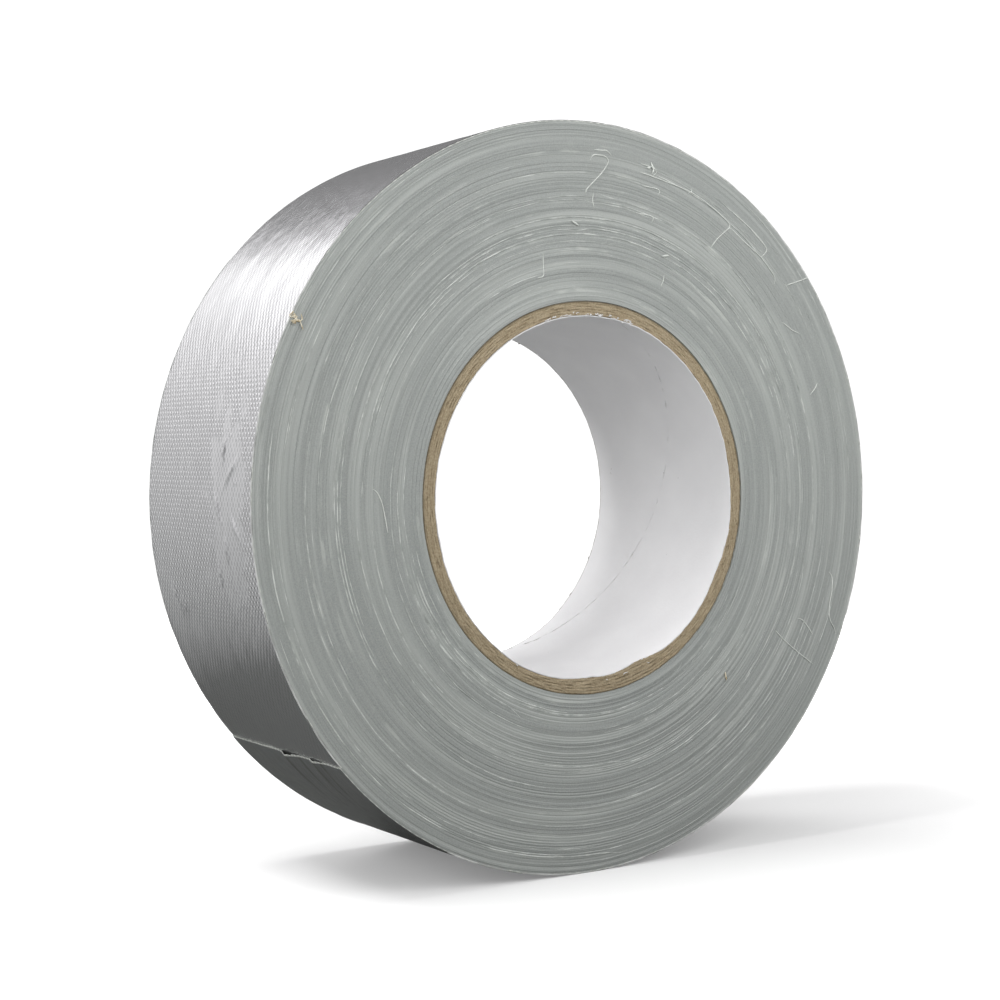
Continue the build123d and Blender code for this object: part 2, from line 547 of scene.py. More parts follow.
def new_piece(name, vertices, faces, materials, strip=None, face_materials=None, sharp=40.0):
    """A mesh object, with an optional strip map given as one pair of lengths per vertex."""
    mesh = bpy.data.meshes.new(name)
    mesh.from_pydata(np.asarray(vertices).tolist(), [], [list(face) for face in faces])
    for made in materials:
        mesh.materials.append(made)
    if face_materials is not None:
        mesh.polygons.foreach_set("material_index", np.asarray(face_materials, dtype=np.int32))
    if strip is not None:
        layer = mesh.uv_layers.new(name="strip")
        corners = np.zeros(len(mesh.loops), dtype=np.int32)
        mesh.loops.foreach_get("vertex_index", corners)
        layer.data.foreach_set("uv", np.asarray(strip)[corners].astype(np.float32).ravel())
    tidy = bmesh.new()
    tidy.from_mesh(mesh)
    bmesh.ops.recalc_face_normals(tidy, faces=tidy.faces)
    tidy.to_mesh(mesh)
    tidy.free()
    mesh.polygons.foreach_set("use_smooth", np.ones(len(mesh.polygons), dtype=bool))
    mesh.set_sharp_from_angle(angle=math.radians(sharp))
    piece = bpy.data.objects.new(name, mesh)
    bpy.context.scene.collection.objects.link(piece)
    return piece


def grid_faces(rows, columns, close_rows=False, close_columns=False):
    """Quads of a grid of vertices that are numbered row by row."""
    row = np.arange(rows if close_rows else rows - 1)
    column = np.arange(columns if close_columns else columns - 1)
    r, c = (made.ravel() for made in np.meshgrid(row, column, indexing="ij"))
    r_next = (r + 1) % rows
    c_next = (c + 1) % columns
    corners = (r * columns + c, r_next * columns + c, r_next * columns + c_next, r * columns + c_next)
    return np.stack(corners, axis=1)


def slab_faces(rows, columns):
    """Quads of a closed slab: a grid on top, the same grid below, and the rim between them."""
    top = grid_faces(rows, columns)
    count = rows * columns
    index = np.arange(count).reshape(rows, columns)
    rim = np.concatenate([index[0, :-1], index[:-1, -1], index[-1, :0:-1], index[:0:-1, 0]])
    rim_next = np.roll(rim, -1)
    side = np.stack([rim, rim_next, rim_next + count, rim + count], axis=1)
    return np.concatenate([top, top[:, ::-1] + count, side])


def place_polar(radius, angle, y):
    turn = np.radians(angle)
    return np.stack(np.broadcast_arrays(radius * np.cos(turn), y, radius * np.sin(turn)), axis=-1)


def value_noise(position, seed):
    """Smooth noise along a line, -1 to 1, one knot per unit of position."""
    knots = np.random.default_rng(seed).uniform(-1.0, 1.0, int(np.max(position)) + 3)
    base = np.floor(position).astype(int)
    part = position - base
    ease = part * part * (3.0 - 2.0 * part)
    return knots[base] * (1.0 - ease) + knots[base + 1] * ease


def ring_noise(angle, seed, orders):
    """Smooth noise round a circle, about -1 to 1, that meets itself after a turn."""
    rng = np.random.default_rng(seed)
    total = np.zeros_like(np.asarray(angle, dtype=float))
    for order in orders:
        total += np.sin(np.radians(order * angle) + rng.uniform(0.0, 2.0 * math.pi))
    return total / math.sqrt(len(orders))


def surface_noise(along, across, seed, wavelength, count=14):
    """Smooth noise over the film, about -1 to 1, from plane waves of about one wavelength."""
    rng = np.random.default_rng(seed)
    total = 0.0
    for _ in range(count):
        heading = rng.uniform(0.0, math.pi)
        number = 2.0 * math.pi / (wavelength * rng.uniform(0.6, 1.7))
        phase = rng.uniform(0.0, 2.0 * math.pi)
        total = total + np.sin(number * (along * math.cos(heading) + across * math.sin(heading)) + phase)
    return total / math.sqrt(count)


def film_radius(angle):
    """The outer turn's outer surface: a spiral that drops one thickness in a turn."""
    return ROLL_RADIUS + TAPE / 2 - TAPE * (angle - TIP_ANGLE) / 360.0


def arc_length(angle):
    return ROLL_RADIUS * np.radians(angle - TIP_ANGLE)


# ---------------------------------------------------------------- the outer turn and its free end

# How far the tape's cut edges wander.
EDGE_FRAY = 0.05 * MM

# Puckers in the free end: place across the tape, width of the gentle side, height, reach
# back along the tape in degrees, sideways drift per degree.
PUCKERS = [
    (0.2 * MM, 8.0 * MM, 0.56 * MM, 18.0, 0.30 * MM),
    (-12.0 * MM, 5.5 * MM, 0.36 * MM, 16.0, 0.50 * MM),
]
PUCKER_SHORTENING = 0.45

# Painted shade along the creases behind the puckers: place across the tape, half width and sideways
# drift. It fades out over one length.
CREASES = [
    (-0.6 * MM, 1.0 * MM, 0.10),
    (-6.5 * MM, 0.7 * MM, 0.12),
    (-12.6 * MM, 1.1 * MM, 0.14),
    (-15.8 * MM, 0.8 * MM, 0.15),
]
CREASE_REACH = 24.0 * MM

# Wrinkles in the film: angle, place across, length, heading from the tape's run, height.
WRINKLES = [
    (172.9, -11.3 * MM, 5.0 * MM, 3.0, 0.40 * MM),
    (175.8, -14.9 * MM, 7.0 * MM, 45.0, 0.38 * MM),
    (181.0, -9.6 * MM, 6.5 * MM, -25.0, 0.40 * MM),
    (183.5, -17.0 * MM, 5.0 * MM, -37.0, 0.32 * MM),
    (186.6, -12.4 * MM, 4.5 * MM, 0.0, 0.32 * MM),
    (190.2, -8.0 * MM, 5.0 * MM, 5.0, 0.26 * MM),
    (195.0, 15.8 * MM, 6.5 * MM, -10.0, 0.30 * MM),
    (196.0, 13.2 * MM, 4.0 * MM, -6.0, 0.20 * MM),
]
WRINKLE_WIDTH = 0.58 * MM

# Stretches, as pairs of angles, over which the weave comes in after the free end, fades before the
# top, comes back after it and is pressed down near the cut. A little of it shows in between.
WOVEN_FROM = (258.0, 282.0)
WOVEN_UNTIL = (385.0, 425.0)
WOVEN_AGAIN = (505.0, 533.0)
PRESSED_FROM = (551.5, 560.0)
SMOOTHED = 0.08

# The worn patch: its middle, its radius across the tape, how much longer it is along the tape
# (as a squeeze of the distance) and how ragged its border is.
PATCH_ANGLE = 541.5
PATCH_PLACE = -13.5 * MM
PATCH_RADIUS = 8.5 * MM
PATCH_SQUEEZE = 0.42
PATCH_RAGGED = 16.0 * MM


def pucker_height(angle, across):
    """How far the free end stands off the turn below."""
    height = np.zeros(np.broadcast(angle, across).shape)
    for place, width, peak, reach, slant in PUCKERS:
        fade = np.clip(1.0 - (angle - TIP_ANGLE) / reach, 0.0, 1.0) ** 1.1
        drift = place + slant * (angle - TIP_ANGLE)
        offset = drift - across
        steep = np.clip(offset / (2.0 * MM) + 0.6, 0.0, 1.0)
        gentle = np.clip(1.0 - offset / width, 0.0, 1.0)
        height = height + peak * fade * steep**2 * (3 - 2 * steep) * gentle**1.3
    return height


def wrinkle_height(angle, across):
    height = np.zeros(np.broadcast(angle, across).shape)
    for centre, place, length, heading, peak in WRINKLES:
        run = ROLL_RADIUS * np.radians((angle - centre + 180.0) % 360.0 - 180.0)
        side = across - place
        turn = math.radians(heading)
        forward = run * math.cos(turn) + side * math.sin(turn)
        sideways = side * math.cos(turn) - run * math.sin(turn)
        fall = (forward / (0.5 * length)) ** 2 + (sideways / WRINKLE_WIDTH) ** 2
        height = height + peak * np.exp(-fall)
    return height


def film_relief(angle, across):
    """Shallow cockles of the film over the whole outer turn."""
    along = arc_length(angle)
    cockles = 0.018 * MM * surface_noise(along * 0.35, across, 11, 9.0 * MM)
    ripples = 0.010 * MM * surface_noise(along * 0.6, across, 12, 3.0 * MM)
    draws = 0.007 * MM * surface_noise(along * 0.07, across, 13, 3.6 * MM)
    return cockles + ripples + draws


def tape_layer(name, angles, edge, top, bottom, made, lifted=False, overhang=0.0):
    """A slab of one layer of tape between two depths, over runs of angles and places across.

    Only the film wrinkles: the cloth under it stays flat.
    """
    angle, across = np.meshgrid(angles, edge, indexing="ij")
    fray = EDGE_FRAY * ring_noise(angle, 31, (23, 41, 67)) * np.sign(across)
    at_edge = np.abs(across) > HALF_WIDTH * 0.999
    across = across + np.where(at_edge, fray, 0.0)
    if overhang:
        tip = np.clip(1.0 - (angle - TIP_ANGLE) / PANEL_ANGLE, 0.0, 1.0) ** 4
        ragged = 1.0 + 0.5 * surface_noise(0.0 * across, across, 32, 1.6 * MM)
        angle = angle - overhang * tip * ragged
    relief = film_relief(angle, across)
    if top == 0.0:
        relief = relief + wrinkle_height(angle, across)
    if lifted:
        pucker = pucker_height(angle, across)
        relief = relief + pucker
        near_tip = np.clip(1.0 - (angle - TIP_ANGLE) / PANEL_ANGLE * 2.0, 0.0, 1.0)
        angle = angle + PUCKER_SHORTENING * near_tip * pucker / PUCKERS[0][2]
    radius = film_radius(angle) + relief
    upper = place_polar(radius - top, angle, across)
    lower = place_polar(radius - bottom, angle, across)
    vertices = np.concatenate([upper.reshape(-1, 3), lower.reshape(-1, 3)])
    strip = np.stack([arc_length(angle), across], axis=-1).reshape(-1, 2)
    strip = np.concatenate([strip, strip])
    faces = slab_faces(*angle.shape)
    return new_piece(name, vertices, faces, [made], strip)


def layer_depths(made):
    """Each layer of the tape: name, top and bottom depth, material."""
    return [
        ("film", 0.0, FILM, made["film"]),
        ("scrim", FILM, FILM + SCRIM, made["scrim"]),
        ("adhesive", FILM + SCRIM, TAPE, made["adhesive"]),
    ]


def make_outer_wrap(made):
    """The outer turn, from the first bend round to where it passes under the free end.

    The film's mesh is finer where it is wrinkled.
    """
    start = ROOT_ANGLE + PANEL_ANGLE / 2
    wrinkled = spread([(start, 526.0, 0.8), (526.0, 561.0, 0.22), (561.0, LAST_ANGLE, 0.8)])
    wrinkled_edge = spread([(-24.0, -19.5, 1.1), (-19.5, -5.5, 0.3), (-5.5, 24.0, 1.0)]) * MM
    plain = np.linspace(start, LAST_ANGLE, 280)
    plain_edge = HALF_WIDTH * np.linspace(-1.0, 1.0, 17)
    for layer, top, bottom, material in layer_depths(made):
        shape = (wrinkled, wrinkled_edge) if layer == "film" else (plain, plain_edge)
        piece = tape_layer(f"wrap_{layer}", *shape, top, bottom, material)
        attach(piece, ROLL_BODY)
        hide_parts(f"outer_wrap_{layer}")


def spread(runs):
    """Places along runs of (start, end, spacing) that follow each other."""
    parts = []
    for start, end, step in runs:
        count = max(2, round((end - start) / step) + 1)
        parts.append(np.linspace(start, end, count)[:-1])
    return np.concatenate([*parts, [runs[-1][1]]])


def panel_middle(index):
    """A point halfway along a panel, counted from 0 at the peel line; -1 is on the roll."""
    return place_polar(ROLL_RADIUS, ROOT_ANGLE - PANEL_ANGLE * (index + 0.5), 0.0)


def make_tail(made):
    """The free end: one stretch over each hinge, then the last half panel to the cut edge, which goes
    with the last tail body.
    """
    step = 0.25
    edge = HALF_WIDTH * np.linspace(-1.0, 1.0, 161)
    for index in range(PANEL_COUNT + 1):
        last = index == PANEL_COUNT
        high = ROOT_ANGLE - PANEL_ANGLE * (index - 0.5)
        low = TIP_ANGLE if last else high - PANEL_ANGLE
        angles = np.linspace(high, low, int(round((high - low) / step)) + 1)
        node = min(index + 1, PANEL_COUNT)
        for layer, top, bottom, material in layer_depths(made):
            gap = TAIL_GAP if layer == "adhesive" else 0.0
            over = 0.0 if layer == "film" or not last else 0.20
            label = f"tail_tip_{layer}" if last else f"tail_bend_{index + 1}_{layer}"
            piece = tape_layer(label, angles, edge, top, bottom - gap, material, True, over)
            if last:
                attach(piece, TAIL_BODIES[-1])
            else:
                panel_middle(index - 1)
                panel_middle(index)
                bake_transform(piece)
            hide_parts(f"tail_{layer}_{node}")


# ---------------------------------------------------------------- the wound tape

# Steps in one turn of the spiral, the heights in a layer of tape at which its cut edge is drawn,
# and how far each of them stands out of the side.
WINDING_STEPS = 120
LAYER_SAMPLES = (0.08, 0.45, 0.92)
LAYER_STANDS = (-0.005, 0.003, 0.0)


def side_relief(turn, column, sample, seed):
    """How far a layer's cut edge stands out of the side, by turn, place on the turn and depth."""
    bands = 0.024 * value_noise(turn / 5.3, seed) + 0.004 * value_noise(turn / 1.6, seed + 1)
    wander = 0.030 * value_noise(column / (WINDING_STEPS * 0.31), seed + 2)
    at_core = -1.1 * np.exp(-turn / 0.55)
    return (bands + wander + LAYER_STANDS[sample] + at_core) * MM


def winding_side(side, seed, column, angle, top):
    """Vertices of one side: three for each step along the spiral, one row after another."""
    grid = np.zeros((len(column), len(LAYER_SAMPLES), 3))
    for sample, part in enumerate(LAYER_SAMPLES):
        relief = side_relief(column / WINDING_STEPS, column, sample, seed)
        depth = 0.0 if sample == len(LAYER_SAMPLES) - 1 else TAPE * (1.0 - part)
        grid[:, sample] = place_polar(top - depth, angle, side * (HALF_WIDTH + relief))
    return grid.reshape(-1, 3)


def winding_faces(columns):
    """Faces of both sides, the outer wall, the bore wall and the spiral's ends, with a material
    index for each: 1 for the outer wall and 0 for the rest."""
    samples = len(LAYER_SAMPLES)
    count = columns * samples
    last = samples - 1
    ridge = grid_faces(columns, samples)
    near = np.arange(columns - 1 - WINDING_STEPS) * samples
    far = near + WINDING_STEPS * samples
    groove = np.stack([near + last, near + samples + last, far + samples, far], axis=1)
    wall = np.arange(columns - 1 - WINDING_STEPS, columns - 1) * samples + last
    bore = np.arange(WINDING_STEPS) * samples
    faces = []
    for offset in (0, count):
        faces += (ridge + offset).tolist() + (groove + offset).tolist()
    walls_from = len(faces)
    faces += np.stack([wall, wall + samples, wall + samples + count, wall + count], axis=1).tolist()
    walls_to = len(faces)
    faces += np.stack([bore, bore + samples, bore + samples + count, bore + count], axis=1).tolist()
    for first in (0, (columns - 1) * samples):
        line = list(range(first, first + samples))
        faces.append(line + [index + count for index in reversed(line)])
    for inner, upper in ((0, WINDING_STEPS), (columns - 1 - WINDING_STEPS, columns - 1)):
        low = inner * samples + last
        high = upper * samples
        faces.append([low, high, high + count, low + count])
    kinds = np.zeros(len(faces), dtype=np.int32)
    kinds[walls_from:walls_to] = 1
    return faces, kinds


def make_winding(made):
    """All the turns under the outer one, as one spiral whose cut edges make both sides."""
    outer = film_radius(TIP_ANGLE) - TAPE
    columns = int((outer - CORE_RADIUS) / TAPE * WINDING_STEPS)
    column = np.arange(columns)
    steps_back = columns - 1 - column
    angle = TIP_ANGLE + steps_back * 360.0 / WINDING_STEPS
    top = outer - TAPE * steps_back / WINDING_STEPS
    front = winding_side(-1.0, SEED, column, angle, top)
    back = winding_side(1.0, SEED + 20, column, angle, top)
    vertices = np.concatenate([front, back])
    faces, kinds = winding_faces(columns)
    run = np.tile(np.repeat(arc_length(angle), len(LAYER_SAMPLES)), 2)
    strip = np.stack([run, vertices[:, 1]], axis=1)
    piece = new_piece("wound_tape", vertices, faces, [made["edge"], made["film"]], strip, kinds, 60.0)
    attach(piece, ROLL_BODY)
    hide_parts("tape_winding")


# ---------------------------------------------------------------- yarns on the sides

def smooth_path(points, spacing):
    """A Catmull-Rom curve through given points, sampled at about one spacing."""
    points = np.asarray(points, dtype=float)
    ends = np.concatenate([[2 * points[0] - points[1]], points, [2 * points[-1] - points[-2]]])
    path = []
    for index in range(len(points) - 1):
        a, b, c, d = ends[index : index + 4]
        pieces = max(2, int(np.linalg.norm(c - b) / spacing))
        for t in np.arange(pieces) / pieces:
            square = (2 * a - 5 * b + 4 * c - d) * t**2
            cube = (3 * b - a - 3 * c + d) * t**3
            path.append(0.5 * (2 * b + (c - a) * t + square + cube))
    return np.array(path + [points[-1]])


def thread_mesh(path, radius, sides, flat, outward):
    """Vertices and faces of a thread along a path on a side of the roll, tapered at its ends."""
    ahead = np.gradient(path, axis=0)
    ahead /= np.linalg.norm(ahead, axis=1)[:, None] + 1e-12
    up = np.tile(np.array([0.0, outward, 0.0]), (len(path), 1))
    level = np.cross(ahead, up)
    level /= np.linalg.norm(level, axis=1)[:, None] + 1e-12
    turn = np.arange(sides) * 2.0 * math.pi / sides
    part = np.linspace(0.0, 1.0, len(path))
    taper = np.clip(np.minimum(part, 1.0 - part) * len(path) * 0.6, 0.35, 1.0)
    ring = (
        level[:, None] * np.cos(turn)[None, :, None] + up[:, None] * flat * np.sin(turn)[None, :, None]
    ) * (radius * taper)[:, None, None]
    vertices = (path[:, None] + ring).reshape(-1, 3)
    faces = grid_faces(len(path), sides, close_columns=True).tolist()
    first = list(range(sides))
    faces += [first, [len(vertices) - sides + index for index in first]]
    return vertices, faces


def join_threads(name, threads, made):
    """One piece from many threads."""
    vertices = []
    faces = []
    for points, quads in threads:
        base = sum(len(block) for block in vertices)
        vertices.append(points)
        faces += [[corner + base for corner in quad] for quad in quads]
    return new_piece(name, np.concatenate(vertices), faces, [made], sharp=80.0)


def side_path(points, side, height):
    """Places (angle, radius in mm) on a side, as points in space."""
    angle = np.array([point[0] for point in points])
    radius = np.array([point[1] for point in points]) * MM
    return place_polar(radius, angle, side * (HALF_WIDTH + height))


# Radii of the yarns: frayed ones in the sides, fine and bold, and loose ones lying on them.
FINE_YARN = 0.075 * MM
BOLD_YARN = 0.12 * MM
THREAD_RADIUS = 0.115 * MM

# How many fine yarns fray at random beside the front's bold ones, and the share that hook over.
RANDOM_ARCS = 130
HOOKED_SHARE = 0.16

# Long pale yarns that show in the front side: start angle, end angle, radius in mm.
FRONT_ARCS = [
    (103.7, 127.0, 47.9), (20.0, 96.0, 56.3), (21.0, 168.0, 55.1), (24.0, 120.0, 58.6),
    (75.5, 90.0, 61.7), (33.0, 150.0, 62.2), (74.8, 118.0, 67.9), (44.0, 79.0, 71.0),
    (148.0, 168.0, 57.2), (167.0, 280.0, 45.6), (193.0, 262.0, 45.0), (178.0, 248.0, 47.0),
    (186.0, 230.0, 53.0), (197.0, 252.0, 49.8), (184.0, 280.0, 56.2), (148.0, 210.0, 60.3),
    (166.0, 205.0, 59.6), (176.0, 259.0, 60.9), (138.0, 178.0, 64.5), (170.0, 215.0, 67.2),
    (200.0, 266.0, 68.6), (144.0, 172.0, 71.8), (186.0, 272.0, 73.4), (168.0, 276.0, 75.0),
    (274.0, 318.0, 49.7), (300.0, 337.0, 52.3), (282.0, 318.0, 59.3), (325.0, 347.0, 62.8),
    (296.0, 350.0, 67.0), (324.0, 352.0, 73.4), (268.0, 305.0, 64.8), (282.0, 330.0, 70.6),
    (10.0, 62.0, 63.2), (5.0, 40.0, 57.8), (28.0, 58.0, 77.1), (46.0, 64.0, 73.6),
]

# Threads that lie loose on the front side, as (angle, radius in mm) points.
FRONT_THREADS = [
    [(103.9, 51.9), (104.5, 49.8), (105.1, 47.5), (107.0, 47.4)],
    [(90.4, 70.6), (89.7, 71.7), (87.5, 71.8), (86.7, 71.2), (86.8, 70.1), (88.2, 67.8), (90.4, 65.4),
     (91.4, 64.2), (91.4, 63.2)],
    [(89.7, 63.8), (89.9, 62.2), (89.5, 60.7)],
    [(89.6, 72.8), (87.9, 72.9), (87.0, 73.0), (86.0, 72.2)],
    [(79.8, 72.1), (77.6, 72.3), (77.0, 72.4), (76.2, 71.6), (76.9, 70.5)],
    [(78.7, 67.7), (75.5, 68.2), (74.7, 68.0), (74.8, 67.2)],
    [(79.2, 61.6), (75.7, 62.1), (74.8, 61.9), (74.9, 61.0)],
    [(68.1, 51.5), (67.8, 50.2), (68.0, 48.8)],
    [(79.6, 70.3), (76.5, 70.4), (68.2, 71.2), (62.6, 71.2), (58.6, 70.9), (57.6, 70.3), (58.3, 67.9),
     (59.0, 65.5), (59.3, 63.4)],
    [(57.0, 70.2), (53.5, 70.2), (48.8, 70.9), (46.1, 70.9), (43.8, 70.7), (43.1, 69.6)],
    [(58.3, 73.5), (53.7, 73.8), (50.4, 73.8), (48.6, 73.4), (48.5, 72.1), (48.7, 70.9)],
    [(39.0, 78.7), (39.5, 76.8), (40.2, 74.6), (41.0, 72.3)],
    [(68.2, 72.2), (68.0, 71.5), (68.6, 70.6)],
    [(36.4, 65.9), (35.0, 66.8), (33.7, 67.5), (32.0, 69.1)],
    [(21.8, 69.1), (21.0, 67.9), (20.3, 66.0)],
    [(345.3, 70.4), (344.5, 71.6), (342.2, 72.5), (339.8, 72.8), (337.9, 73.6), (336.8, 74.8),
     (336.2, 76.2), (335.3, 77.3)],
    [(329.4, 60.0), (328.8, 63.6), (328.5, 68.6), (328.4, 74.0)],
    [(334.3, 64.8), (334.5, 66.2), (333.8, 68.8), (333.0, 70.8)],
    [(187.0, 49.6), (183.5, 49.9), (180.0, 50.6), (178.0, 51.6), (177.3, 52.6)],
]

# Torn cotton specks on the front side: angle, radius, length in mm, heading.
FRONT_FLECKS = [
    (94.4, 57.3, 1.8, -25.0), (69.4, 55.4, 1.9, 10.0), (77.3, 72.4, 2.0, 115.0), (77.0, 71.6, 1.1, 60.0),
    (78.0, 71.9, 1.0, 10.0),
]


def random_arcs(seed, count):
    """Frayed warp yarns at random: start angle, end angle, radius in mm."""
    rng = np.random.default_rng(seed)
    arcs = []
    for _ in range(count):
        length = math.exp(rng.uniform(math.log(5.0), math.log(60.0)))
        start = rng.uniform(0.0, 360.0)
        arcs.append((start, start + length, rng.uniform(42.2, 78.0)))
    return arcs


def arc_threads(arcs, seed, side, thickness):
    """Thin threads that run along the tape's cut edge, each wandering a little."""
    rng = np.random.default_rng(seed)
    threads = []
    for start, end, radius in arcs:
        count = max(5, int((end - start) / 2.2))
        angle = np.linspace(start, end, count)
        sway = ring_noise(angle, int(rng.integers(1e6)), (11, 19, 37)) * 0.07 * MM
        lift = 0.03 * MM * ring_noise(angle, int(rng.integers(1e6)), (17, 29))
        bend = np.zeros(count)
        if rng.uniform() < HOOKED_SHARE:
            bend[-3:] = rng.choice([-1.0, 1.0]) * np.array([0.08, 0.45, 1.1]) * MM
        path = place_polar(radius * MM + sway + bend, angle, side * (HALF_WIDTH + lift))
        size = thickness * rng.uniform(0.7, 1.35)
        threads.append(thread_mesh(path, size, 5, 0.6, side))
    return threads


def loose_thread(points, side):
    """A cotton thread through places (angle, radius in mm) on a side."""
    path = smooth_path(side_path(points, side, 0.08 * MM), 0.5 * MM)
    return thread_mesh(path, THREAD_RADIUS, 6, 0.8, side)


def make_side_yarns(made):
    """Pale yarns in both sides, and the threads that lie loose on them."""
    for label, side, hand, seed in (("front", -1.0, FRONT_ARCS, 51), ("back", 1.0, [], 61)):
        count = RANDOM_ARCS + 3 * (len(FRONT_ARCS) - len(hand))
        fine = arc_threads(random_arcs(seed, count), seed + 1, side, FINE_YARN)
        bold = arc_threads(hand, seed + 2, side, BOLD_YARN)
        frayed = join_threads(f"frayed_yarns_{label}", fine + bold, made["fibre"])
        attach(frayed, ROLL_BODY)
    for label, side, routes in (("front", -1.0, FRONT_THREADS), ("back", 1.0, back_threads())):
        threads = [loose_thread(points, side) for points in routes]
        loose = join_threads(f"loose_threads_{label}", threads, made["yarn"])
        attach(loose, ROLL_BODY)
        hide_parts(f"loose_yarns_{label}")


def back_threads():
    """Loose threads on the far side: short random curls."""
    rng = np.random.default_rng(71)
    threads = []
    for _ in range(14):
        angle = rng.uniform(0.0, 360.0)
        radius = rng.uniform(46.0, 76.0)
        points = [(angle, radius)]
        for _ in range(int(rng.integers(2, 6))):
            angle += rng.uniform(-3.5, 3.5)
            radius = min(78.0, max(43.0, radius + rng.uniform(-2.2, 2.2)))
            points.append((angle, radius))
        threads.append(points)
    return threads


# ---------------------------------------------------------------- the core

# Places where the front cut bulges into the bore: angle, rise in millimetres, width in degrees.
BURRS = [
    (289.0, 1.35, 9.0), (270.0, 0.75, 10.0), (333.0, 0.40, 5.0), (352.0, -0.20, 9.0),
    (243.0, -0.20, 9.0),
]

# How far the plies' cut ends stand back from the tape's sides, and how deep their roughness goes.
CUT_INSET = 0.12 * MM
NECK_DEPTH = 1.6 * MM


def end_burr(angle):
    """How far the cut bulges into the bore at the front end, by angle."""
    turn = angle % 360.0
    bulges = sum(rise * np.exp(-(((turn - place) / width) ** 2)) for place, rise, width in BURRS)
    return (bulges + 0.02 * ring_noise(angle, 81, (7, 19, 43, 71))) * MM


def make_core(made):
    """Kraft plies: closed rings whose cut ends are rough and drawn inwards at the bore."""
    rows = 360
    angle = np.arange(rows) * 360.0 / rows
    thickness = (CORE_RADIUS - LINER_RADIUS) / PLY_COUNT
    for ply in range(PLY_COUNT):
        inner = LINER_RADIUS + ply * thickness
        outer = inner + thickness
        drawn = end_burr(angle) * (1.0 - ply / PLY_COUNT) ** 1.5
        profile = []
        for side, first_seed in ((-1.0, 90 + 10 * ply), (1.0, 95 + 10 * ply)):
            pulled = drawn if side < 0 else 0.0 * drawn
            line = [place_polar(inner, angle, side * (HALF_WIDTH - NECK_DEPTH))]
            for sample, part in enumerate((0.02, 0.34, 0.66, 0.98)):
                chamfer = 0.03 if sample in (0, 3) else 0.0
                rough = 0.09 * ring_noise(angle, first_seed + sample, (31, 53, 97, 139)) - chamfer
                radius = inner + part * (outer - inner) - pulled * (1.0 - 0.4 * part)
                line.append(place_polar(radius, angle, side * (HALF_WIDTH - CUT_INSET + rough * MM)))
            line.append(place_polar(outer, angle, side * (HALF_WIDTH - NECK_DEPTH)))
            profile += line if side < 0 else line[::-1]
        grid = np.stack(profile, axis=1)
        faces = grid_faces(rows, grid.shape[1], True, True)
        piece = new_piece(f"kraft_ply_{ply + 1}", grid.reshape(-1, 3), faces, [made["kraft"]], sharp=70.0)
        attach(piece, ROLL_BODY)
        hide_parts(f"core_ply_{ply + 1}")


# The lining's seam: a helix that starts at the far end at one angle and comes forward by its
# slope in each degree. It gapes most over its first stretch.
SEAM_START = 283.3
SEAM_SLOPE = 0.30 * MM
WIDE_GAP_UNTIL = 62.0
WIDE_GAP = 0.13 * MM
NARROW_GAP = 0.03 * MM
LINER_SHEET = 0.2 * MM


def make_liner(made):
    """The lining: one strip of paper wound in a helix, its edges meeting in a seam."""
    end = SEAM_START + 2 * HALF_WIDTH / SEAM_SLOPE + 359.0
    angles = np.linspace(SEAM_START + 1.0, end, 620)
    rows = 25
    ragged_front = (0.12 + 0.09 * ring_noise(angles, 85, (9, 23, 47, 83))) * MM
    ragged_back = (0.05 + 0.03 * ring_noise(angles, 86, (8, 27, 51, 89))) * MM
    turn = (angles - SEAM_START) % 360.0
    gap = np.where(turn < WIDE_GAP_UNTIL, WIDE_GAP, NARROW_GAP)
    seam = HALF_WIDTH - SEAM_SLOPE * (angles - SEAM_START)
    following = HALF_WIDTH - SEAM_SLOPE * (angles - 360.0 - SEAM_START)
    low = np.maximum(-HALF_WIDTH + ragged_front, seam + gap / 2)
    high = np.minimum(HALF_WIDTH - ragged_back, following - gap / 2)
    part = np.linspace(0.0, 1.0, rows)
    span = np.maximum(high, low + 0.02 * MM) - low
    across = low[:, None] + span[:, None] * part[None]
    angle = np.repeat(angles[:, None], rows, axis=1)
    near_end = np.exp(-(across + HALF_WIDTH) / (0.7 * MM))
    run = BORE_RADIUS * np.radians(angle)
    cockle = 0.03 * MM * surface_noise(run, across, 87, 14.0 * MM)
    beside_seam = np.minimum(np.abs(across - seam[:, None]), np.abs(across - following[:, None]))
    crumple = surface_noise(run * 0.5, across, 88, 2.2 * MM)
    cockle = cockle + 0.09 * MM * crumple * np.exp(-((beside_seam / (1.8 * MM)) ** 2))
    radius = BORE_RADIUS + cockle - end_burr(angle) * near_end
    inner = place_polar(radius, angle, across)
    outer = place_polar(radius + LINER_SHEET, angle, across)
    vertices = np.concatenate([inner.reshape(-1, 3), outer.reshape(-1, 3)])
    faces = slab_faces(len(angles), rows)
    piece = new_piece("lining_paper", vertices, faces, [made["paper"]], sharp=60.0)
    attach(piece, ROLL_BODY)
    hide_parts("core_liner")


def chip(angle, radius, length, heading, side):
    """A small torn flake lying on a side: vertices and faces."""
    rng = np.random.default_rng(int(angle * 10))
    centre = place_polar(radius * MM, angle, side * (HALF_WIDTH + 0.15 * MM))
    turn = math.radians(heading)
    ahead = np.array([math.cos(turn), 0.0, math.sin(turn)])
    path = np.array([centre + ahead * length * MM * t for t in np.linspace(-0.5, 0.5, 7)])
    path[:, 1] += side * 0.12 * MM * rng.uniform(0.0, 1.0, 7)
    return thread_mesh(path, 0.22 * MM, 6, 0.7, side)


